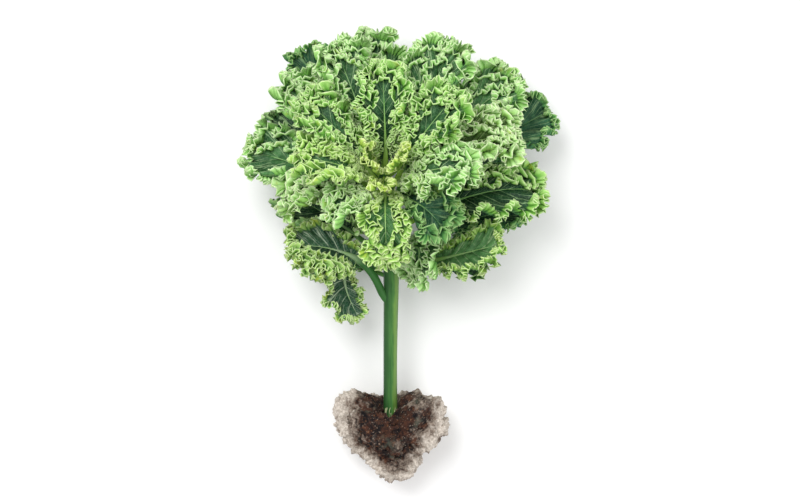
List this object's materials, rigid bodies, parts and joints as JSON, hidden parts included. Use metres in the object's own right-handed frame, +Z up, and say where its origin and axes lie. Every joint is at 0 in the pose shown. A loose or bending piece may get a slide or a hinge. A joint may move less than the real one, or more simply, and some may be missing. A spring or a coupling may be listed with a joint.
{
  "type": "kale plant",
  "caption": "Curly kale plant as pulled: a thick smooth stalk that lies on its side, a dense rosette of frilled leaves at its top and a lump of soil round its foot.",
  "frame": {"origin": "on the surface, under the middle of the whole plant's box", "axes": "+Y along the stalk, from the soil to the leaves; +Z up, the way the rosette faces; +X to the right, seen from above with the leaves at the far end"},
  "size_m": [0.3186, 0.4584, 0.1811],
  "materials": {
    "leaf_green": "satin leaf, pale frilled margin",
    "leaf_dark": "satin leaf, dark blue-green with pale veins",
    "leaf_heart": "satin young leaf, yellow-green",
    "stalk": "smooth waxy stem",
    "soil": "matt crumbly soil"
  },
  "bodies": {
    "root": {"stalk": "stalk", "soil": "soil", "leaf_low_left": "leaf_green", "leaf_hanging": "leaf_green", "leaf_left_droop": "leaf_green", "leaf_left": "leaf_green", "leaf_upper_left": "leaf_green", "leaf_top_left_back": "leaf_dark", "leaf_top_left": "leaf_green", "leaf_top": "leaf_green", "leaf_top_right": "leaf_green", "leaf_right_upper": "leaf_green", "leaf_right_back": "leaf_dark", "leaf_right_arch": "leaf_green", "leaf_right": "leaf_green", "leaf_right_low": "leaf_dark", "leaf_low_right": "leaf_green", "leaf_low_middle": "leaf_green", "leaf_inner_upper_left": "leaf_green", "leaf_inner_left": "leaf_heart", "leaf_inner_up": "leaf_green", "leaf_inner_upper_right": "leaf_green", "leaf_inner_right": "leaf_heart", "leaf_inner_low_right": "leaf_green", "leaf_inner_down": "leaf_heart", "leaf_inner_low_left": "leaf_green", "leaf_heart_left": "leaf_heart", "leaf_heart_right": "leaf_heart", "leaf_heart_down": "leaf_heart", "leaf_under_left": "leaf_dark", "leaf_under_upper_left": "leaf_dark", "leaf_under_top_left": "leaf_dark", "leaf_under_top_right": "leaf_dark", "leaf_under_upper_right": "leaf_dark", "leaf_under_right": "leaf_dark", "leaf_under_low_right": "leaf_dark", "leaf_under_low_left": "leaf_dark"}
  },
  "joints": []
}
